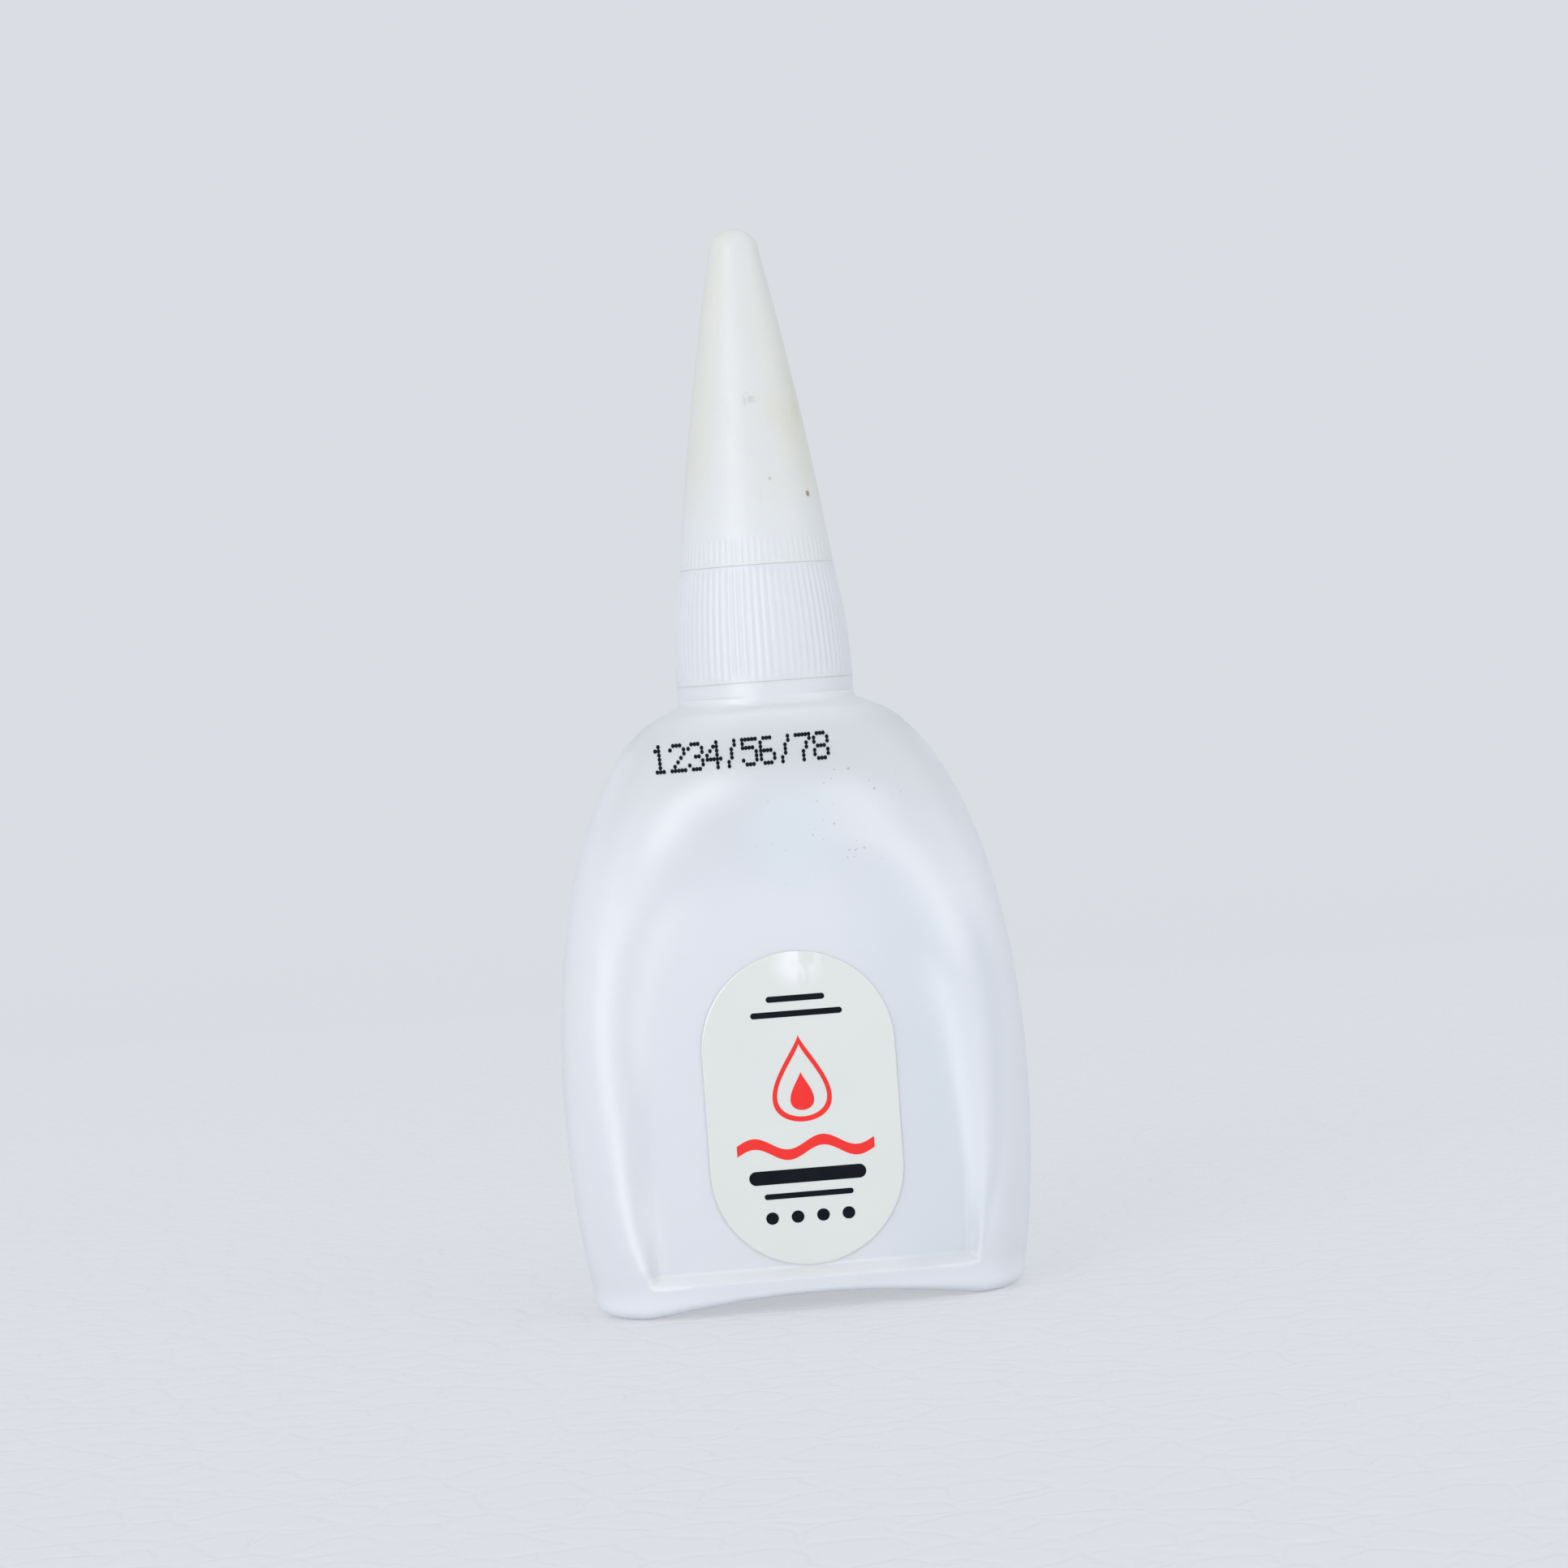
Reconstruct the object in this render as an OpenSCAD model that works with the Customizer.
// Flat squeeze bottle of liquid adhesive, with a screw-on dropper nozzle and a conical cap.
// Millimetres, +Z up. The label faces -Y, and the origin is the middle of the base, on the surface it stands on.

/* [Body] */
// Greatest width of the body
body_w = 37; // [34:0.5:44]
// Greatest depth of the body, before the label panels are sunk into it
body_d = 21.2; // [18:0.1:24]
// Height of the level where the body is widest
waist_z = 16.5; // [14:0.5:20]
// Height above that level at which the curve of the sides would close
crown_h = 32.2; // [29:0.2:38]
// Distance below that level at which the curve of the sides would close
heel_h = 34; // [30:0.5:44]
// Distance from that level at which the curve of the front and back would close
depth_reach = 40.8; // [38:0.2:50]
// Radius of the edge round the base
foot_r = 1; // [0.6:0.1:1.6]
// Rise of the base between its two feet
arch_rise = 1.25; // [0.6:0.05:1.6]
// Width of each of the two feet, at the middle of the depth
foot_w = 2.9; // [1.5:0.1:5]
// Thickness of the wall
wall = 0.9; // [0.7:0.05:1.3]
// Roundness of the sections: 2 is an ellipse, more is squarer
squareness = 4; // [3:0.1:6]

/* [Label panels] */
// How far the flat floor of a panel lies below the greatest depth of the body
panel_sink = 2.35; // [1:0.05:2.6]
// Height of the rim that stands proud under the panels
rim_h = 3.25; // [2.8:0.05:4.5]
// Height that the steep step from the rim to the floor takes up
rim_step = 0.6; // [0.3:0.1:1]
// Distance from the body's side to the crest round a panel
crest_in = 3.7; // [2:0.1:5]
// How far the crest is widest above the body's own widest level
crest_lift = 3.5; // [1:0.5:6]
// Distance from the crown of the body down to the crest's arched top
crest_drop = 8.9; // [5:0.1:12]
// Width of the slope from the crest to the floor, at the sides
slope_w = 2.5; // [1:0.1:4]
// Height of that slope at the top of the arch
slope_h = 5.8; // [4:0.1:11]
// How far the floor is widest below the body's own widest level
floor_dip = 6.5; // [3:0.5:9]
// Distance below their widest levels at which the curves of crest and floor would close
panel_heel = 29; // [24:0.5:36]

/* [Neck] */
// Height of the plain ring that the collar sits on
ring_h = 1.9; // [1.4:0.1:3]
// How far the ring's foot sits below the crown of the body
ring_sink = 1.5; // [1:0.1:2]
// Diameter of the neck inside the collar
neck_d = 9.6; // [8.4:0.1:11]
// Thickness of the neck's wall
neck_wall = 0.9; // [0.7:0.05:1.2]

/* [Nozzle] */
// Height of the collar
collar_h = 9.2; // [7:0.1:11]
// Thickness of the collar's wall at its top
collar_wall = 0.75; // [0.6:0.05:1.2]
// How far the collar's foot, and the ring below it, stand out past the collar's top
collar_flare = 0.9; // [0.4:0.05:1.6]
// Thickness of the nozzle's deck, over the neck's rim
deck_t = 1.05; // [0.8:0.05:1.6]
// Number of ribs round the collar and the cap
rib_count = 72; // [48:4:80]
// Depth of the grooves between the collar's ribs
rib_depth = 0.25; // [0.15:0.05:0.35]
// How far the plug reaches into the neck
plug_h = 3.8; // [2:0.1:5]
// Thickness of the plug's wall and of the dropper tip's
nozzle_wall = 0.8; // [0.6:0.05:1]
// Diameter of the spigot that the cap screws on
spigot_d = 7.2; // [6.6:0.1:7.4]
// Height of the spigot
spigot_h = 5.2; // [4:0.1:6]
// Diameter of the dropper tip at its foot
tip_foot_d = 6; // [5.4:0.1:6.4]
// Diameter of the dropper tip at its end
tip_end_d = 1.9; // [1.7:0.1:2.3]
// Diameter of the orifice
orifice_d = 1; // [0.6:0.1:1.1]
// Length of the orifice
orifice_l = 3; // [1.5:0.1:5]

/* [Cap] */
// Height of the cap
cap_h = 27; // [22:0.1:32]
// Diameter of the cap's rounded tip
cap_tip_d = 4.1; // [3.6:0.1:5]
// How far the cap's side bows out from a straight cone
cap_bow = 0.27; // [0.1:0.01:0.5]
// Height of the ribbed band at the cap's foot
cap_band_h = 2.1; // [1.5:0.1:3]
// Depth of the grooves between the cap's ribs
cap_rib_depth = 0.18; // [0.1:0.02:0.3]
// How far the ribs lie inside the line of the cap's side
cap_rib_set = 0.06; // [0.04:0.01:0.12]
// Thickness of the cap's side at the end of its hollow
cap_wall = 1.1; // [0.9:0.05:1.25]
// Thickness of the cap's closed end
cap_end_t = 3.5; // [2:0.1:5]

/* [Label] */
// Width of the label
label_w = 15.2; // [13:0.1:18]
// Height of the label, over its round ends
label_h = 24.6; // [20:0.1:26]
// Thickness of the label
label_t = 0.12; // [0.08:0.01:0.3]
// Gap between the rim and the label
label_gap = 0.1; // [0.05:0.05:2]

/* [Glue] */
// Height of the liquid's surface
fill_z = 39; // [20:0.5:41]

/* [Hidden] */
$fn = 96;

// How far a cut runs past the face that it opens
overrun = 0.5;
// Gap between the liquid and the bottle's wall
glue_gap = 0.15;
// Radial room for the threads between a neck or spigot and the bore round it
thread_room = 0.6;
// Radial gap between the plug and the neck's bore
plug_gap = 0.12;
// Gap between the neck's rim and the nozzle's deck
rim_gap = 0.25;
// Room between the top of the spigot and the end of the cap's bore
bore_room = 0.4;
// Room between the end of the dropper tip and the end of the cap's hollow
tip_room = 1;
// Share of the crown's height at which the body's loft ends, inside the neck ring
loft_top_share = 0.978;
// Exponent of the curve that closes the body's outline
outline_root = 1 / 3;
// Exponent at which the sections turn round towards the neck
rounding_power = 4;
// Share of a panel's slope that the cut runs on past the crest
past_share = 0.25;

section_points = 80;
inner_points = 44;
lower_rings = 8;
upper_rings = 18;
foot_rings = 3;
collar_rings = 5;
arch_steps = 32;
slope_steps = 3;

crown_z = waist_z + crown_h;
ring_z = crown_z - ring_sink;
seat_z = ring_z + ring_h;
seam_z = seat_z + collar_h;
deck_z = seam_z - deck_t;
rim_z = deck_z - rim_gap;
plug_z = rim_z - plug_h;
spigot_z = seam_z + spigot_h;
hollow_z = seam_z + cap_h - cap_end_t;
tip_z = hollow_z - tip_room;
floor_z = arch_rise + wall;

panel_d = body_d - 2 * panel_sink;
crest_w = body_w - 2 * crest_in;
crest_waist_z = waist_z + crest_lift;
crest_top_z = crown_z - crest_drop;
floor_w = crest_w - 2 * slope_w;
floor_waist_z = waist_z - floor_dip;
floor_top_z = crest_top_z - slope_h;
neck_bore_d = neck_d - 2 * neck_wall;
collar_bore_d = neck_d + 2 * thread_room;
seam_d = collar_bore_d + 2 * collar_wall;
collar_d = seam_d + 2 * collar_flare;
plug_d = neck_bore_d - 2 * plug_gap;
channel_d = plug_d - 2 * nozzle_wall;
spigot_channel_d = spigot_d - 2 * nozzle_wall;
tip_channel_d = tip_foot_d - 2 * nozzle_wall;
cap_bore_d = spigot_d + 2 * thread_room;

// Half of a size that closes at a distance reach from the waist, at height z
function closing(size, z, reach) = size / 2 * pow(1 - pow((z - waist_z) / reach, 2), outline_root);

// Radius of the cylinder that hollows the base between the feet: half its chord squared over twice the rise,
// plus half the rise
arch_half = closing(body_w, 0, heel_h) - foot_r - foot_w;
arch_r = pow(arch_half, 2) / (2 * arch_rise) + arch_rise / 2;

// How far the rounded edge of the base, radius r and starting at height base, draws in the section at height z
function foot_inset(z, base, r) = z < base + r ? r - sqrt(pow(r, 2) - pow(base + r - z, 2)) : 0;

// Exponent of the section at height z: squareness up to the waist, falling to an ellipse at the crown
function section_power(z) =
    2 + (squareness - 2) * (z > waist_z ? 1 - pow((z - waist_z) / crown_h, rounding_power) : 1);

// One coordinate of a superellipse of half size h
function bent(h, t, power) = sign(t) * h * pow(abs(t), 2 / power);

// The section at height z, in count points, of a skin that lies inset inside the body's surface and starts at base
function section(z, inset, base, count) =
    let (reach = z > waist_z ? crown_h - inset : heel_h - inset)
    let (foot = foot_inset(z, base, foot_r))
    let (w = closing(body_w - 2 * inset, z, reach) - foot)
    let (d = closing(body_d - 2 * inset, z, depth_reach - inset) - foot)
    let (power = section_power(z))
    [for (i = [0 : count - 1])
        let (a = 360 * (i + 0.5) / count)
        [bent(w, cos(a), power), bent(d, sin(a), power), z]];

// Heights of the sections from base to top: close together round the foot and towards the crown
function levels(base, top) = concat(
    [for (i = [0 : foot_rings - 1]) base + foot_r * (1 - cos(90 * i / foot_rings))],
    [for (i = [0 : lower_rings - 1]) base + foot_r + (waist_z - base - foot_r) * i / lower_rings],
    [for (i = [0 : upper_rings]) waist_z + (top - waist_z) * sin(90 * i / upper_rings)]
);

// A closed solid through rings of points, each with the same count, from bottom to top.
// The diagonals of its faces turn over in each quarter of a ring, so that left and right halves are alike.
module loft(rings) {
    n = len(rings[0]);
    last = len(rings) - 1;
    points = concat([for (ring = rings) each ring], [middle(rings[0]), middle(rings[last])]);
    sides = [for (k = [0 : last - 1]) for (i = [0 : n - 1])
        let (a = k * n + i, b = k * n + (i + 1) % n)
        each floor(4 * i / n) % 2 == 0 ? [[a, a + n, b + n], [a, b + n, b]] : [[a, a + n, b], [a + n, b + n, b]]];
    ends = [for (i = [0 : n - 1])
        let (j = (i + 1) % n)
        each [[i, j, len(points) - 2], [last * n + j, last * n + i, len(points) - 1]]];
    polyhedron(points = points, faces = concat(sides, ends));
}

// The middle of a ring of points
function middle(ring) = [for (axis = [0 : 2]) sum([for (p = ring) p[axis]]) / len(ring)];
function sum(values) = values * [for (v = values) 1];

// The body's rounded form, inset by a distance, from a height up to the crown, with count points to a section
module pillow(inset, base, count) {
    top = waist_z + (crown_h - inset) * loft_top_share;
    loft([for (z = levels(base, top)) section(z, inset, base, count)]);
}

// A slab between the front and the back, thick along Y, wider and taller than the body
module slab(thick, base) {
    translate([-body_w, -thick / 2, base]) cube([2 * body_w, thick, crown_z]);
}

// Depth of the body's surface, from its middle plane, at a place x, z above the rounded foot
function surface_y(x, z) =
    let (w = closing(body_w, z, z > waist_z ? crown_h : heel_h))
    let (power = section_power(z))
    closing(body_d, z, depth_reach) * pow(1 - pow(abs(x) / w, power), 1 / power);

// Points [x, z] of an arch, up its right side and down its left: widest at the height waist, closed at top
function arch(w, waist, top, base) =
    let (right = [for (i = [0 : arch_steps])
        let (z = base + (top - base) * sin(90 * i / arch_steps))
        let (share = (z - waist) / (z > waist ? top - waist : panel_heel))
        [w / 2 * pow(1 - pow(share, 2), outline_root), z]])
    concat(right, [for (i = [arch_steps - 1 : -1 : 0]) [-right[i].x, right[i].y]]);

// What a label panel is cut with: a flat floor, and a slope from it that runs on past the crest
module panel_cut() {
    low = [for (p = arch(floor_w, floor_waist_z, floor_top_z, rim_h)) [p.x, -panel_d / 2, p.y]];
    crest = [for (p = arch(crest_w, crest_waist_z, crest_top_z, rim_h - rim_step)) [p.x, -surface_y(p.x, p.y), p.y]];
    rise = (1 + past_share) * (crest - low);
    slope = [for (k = [0 : slope_steps]) low + rise * k / slope_steps];
    loft(concat(slope, [[for (p = slope[slope_steps]) [p.x, -body_d, p.z]]]));
}

// The hollow of the bottle, inset from its surface, from a height up to the crown
module hollow(inset, base) {
    intersection() {
        pillow(inset, base, inner_points);
        slab(panel_d - 2 * inset, 0);
    }
}

// Toothed ring of radius r at height z, with two points to a rib
function ribbed_ring(r, depth, z) = [for (i = [0 : 2 * rib_count - 1])
    let (a = 180 * i / rib_count)
    let (reach = i % 2 == 0 ? r : r - depth)
    [reach * cos(a), reach * sin(a), z]];

// Radius of the collar at a share of its height: upright at its foot, curving in to the seam
function collar_r(height_share) = collar_d / 2 - (collar_d - seam_d) / 2 * pow(height_share, 2);

// Radius of the cap's side at a share of the height below its rounded tip
function cap_r(height_share) =
    seam_d / 2 - (seam_d - cap_tip_d) / 2 * height_share + 4 * cap_bow * height_share * (1 - height_share);

module bottle() {
    color("#dde3ea") difference() {
        union() {
            difference() {
                pillow(0, 0, section_points);
                panel_cut();
                rotate([0, 0, 180]) panel_cut();
            }
            translate([0, 0, ring_z]) cylinder(h = ring_h, d = collar_d);
            translate([0, 0, ring_z]) cylinder(h = rim_z - ring_z, d = neck_d);
        }
        hollow(wall, floor_z);
        translate([0, 0, waist_z]) cylinder(h = rim_z - waist_z + overrun, d = neck_bore_d);
        translate([0, 0, arch_rise - arch_r])
            rotate([90, 0, 0]) cylinder(h = 2 * body_d, r = arch_r, center = true);
    }
}

module glue() {
    color("#eef1f0") intersection() {
        hollow(wall + glue_gap, floor_z + glue_gap);
        slab(body_d, fill_z - crown_z);
    }
}

// The ribbed collar, as a solid
module collar() {
    loft([for (i = [0 : collar_rings])
        ribbed_ring(collar_r(i / collar_rings), rib_depth, seat_z + collar_h * i / collar_rings)]);
}

module nozzle() {
    color("#e1e5ec") difference() {
        union() {
            collar();
            rotate_extrude() polygon([
                [0, deck_z], [spigot_d / 2, deck_z], [spigot_d / 2, spigot_z],
                [tip_foot_d / 2, spigot_z], [tip_end_d / 2, tip_z], [0, tip_z]
            ]);
        }
        // Room round the plug for the neck and its thread
        rotate_extrude() polygon([
            [plug_d / 2, plug_z], [plug_d / 2, deck_z], [collar_bore_d / 2, deck_z],
            [collar_bore_d / 2, seat_z - overrun], [0, seat_z - overrun], [0, plug_z]
        ]);
        // Channel from the plug to the orifice
        rotate_extrude() polygon([
            [0, plug_z - overrun], [channel_d / 2, plug_z - overrun], [channel_d / 2, deck_z],
            [spigot_channel_d / 2, seam_z], [tip_channel_d / 2, spigot_z], [orifice_d / 2, tip_z - orifice_l],
            [orifice_d / 2, tip_z + overrun], [0, tip_z + overrun]
        ]);
    }
}

// The cap's ribbed band, as a solid that runs up into the plain side
module cap_band() {
    side_h = cap_h - cap_tip_d / 2;
    loft([for (z = [0, cap_band_h + overrun])
        ribbed_ring(cap_r(z / side_h) - cap_rib_set, cap_rib_depth, seam_z + z)]);
}

module cap() {
    side_h = cap_h - cap_tip_d / 2;
    band_share = cap_band_h / side_h;
    side_steps = 8;
    dome_steps = 6;
    bore_z = spigot_z + bore_room;
    side = [for (i = [0 : side_steps])
        let (height_share = band_share + (1 - band_share) * i / side_steps)
        [cap_r(height_share), seam_z + side_h * height_share]];
    dome = [for (i = [1 : dome_steps])
        let (a = 90 * i / dome_steps)
        [cap_tip_d / 2 * cos(a), seam_z + side_h + cap_tip_d / 2 * sin(a)]];
    core_r = (cap_r(band_share) + cap_bore_d / 2) / 2;
    hollow_end_r = cap_r((hollow_z - seam_z) / side_h) - cap_wall;
    color("#e3e3da") difference() {
        union() {
            rotate_extrude() polygon(concat(
                [[0, seam_z + cap_band_h / 2], [core_r, seam_z + cap_band_h / 2], [core_r, seam_z + cap_band_h]],
                side, dome));
            cap_band();
        }
        rotate_extrude() polygon([
            [0, seam_z - overrun], [cap_bore_d / 2, seam_z - overrun], [cap_bore_d / 2, bore_z],
            [hollow_end_r, hollow_z], [0, hollow_z]
        ]);
    }
}

module label() {
    color("#e6e6e0") translate([0, -panel_d / 2, rim_h + label_gap])
        rotate([90, 0, 0]) linear_extrude(label_t) {
            for (z = [label_w / 2, label_h - label_w / 2]) translate([0, z]) circle(d = label_w);
            translate([-label_w / 2, label_w / 2]) square([label_w, label_h - label_w]);
        }
}

bottle();
glue();
nozzle();
cap();
label();
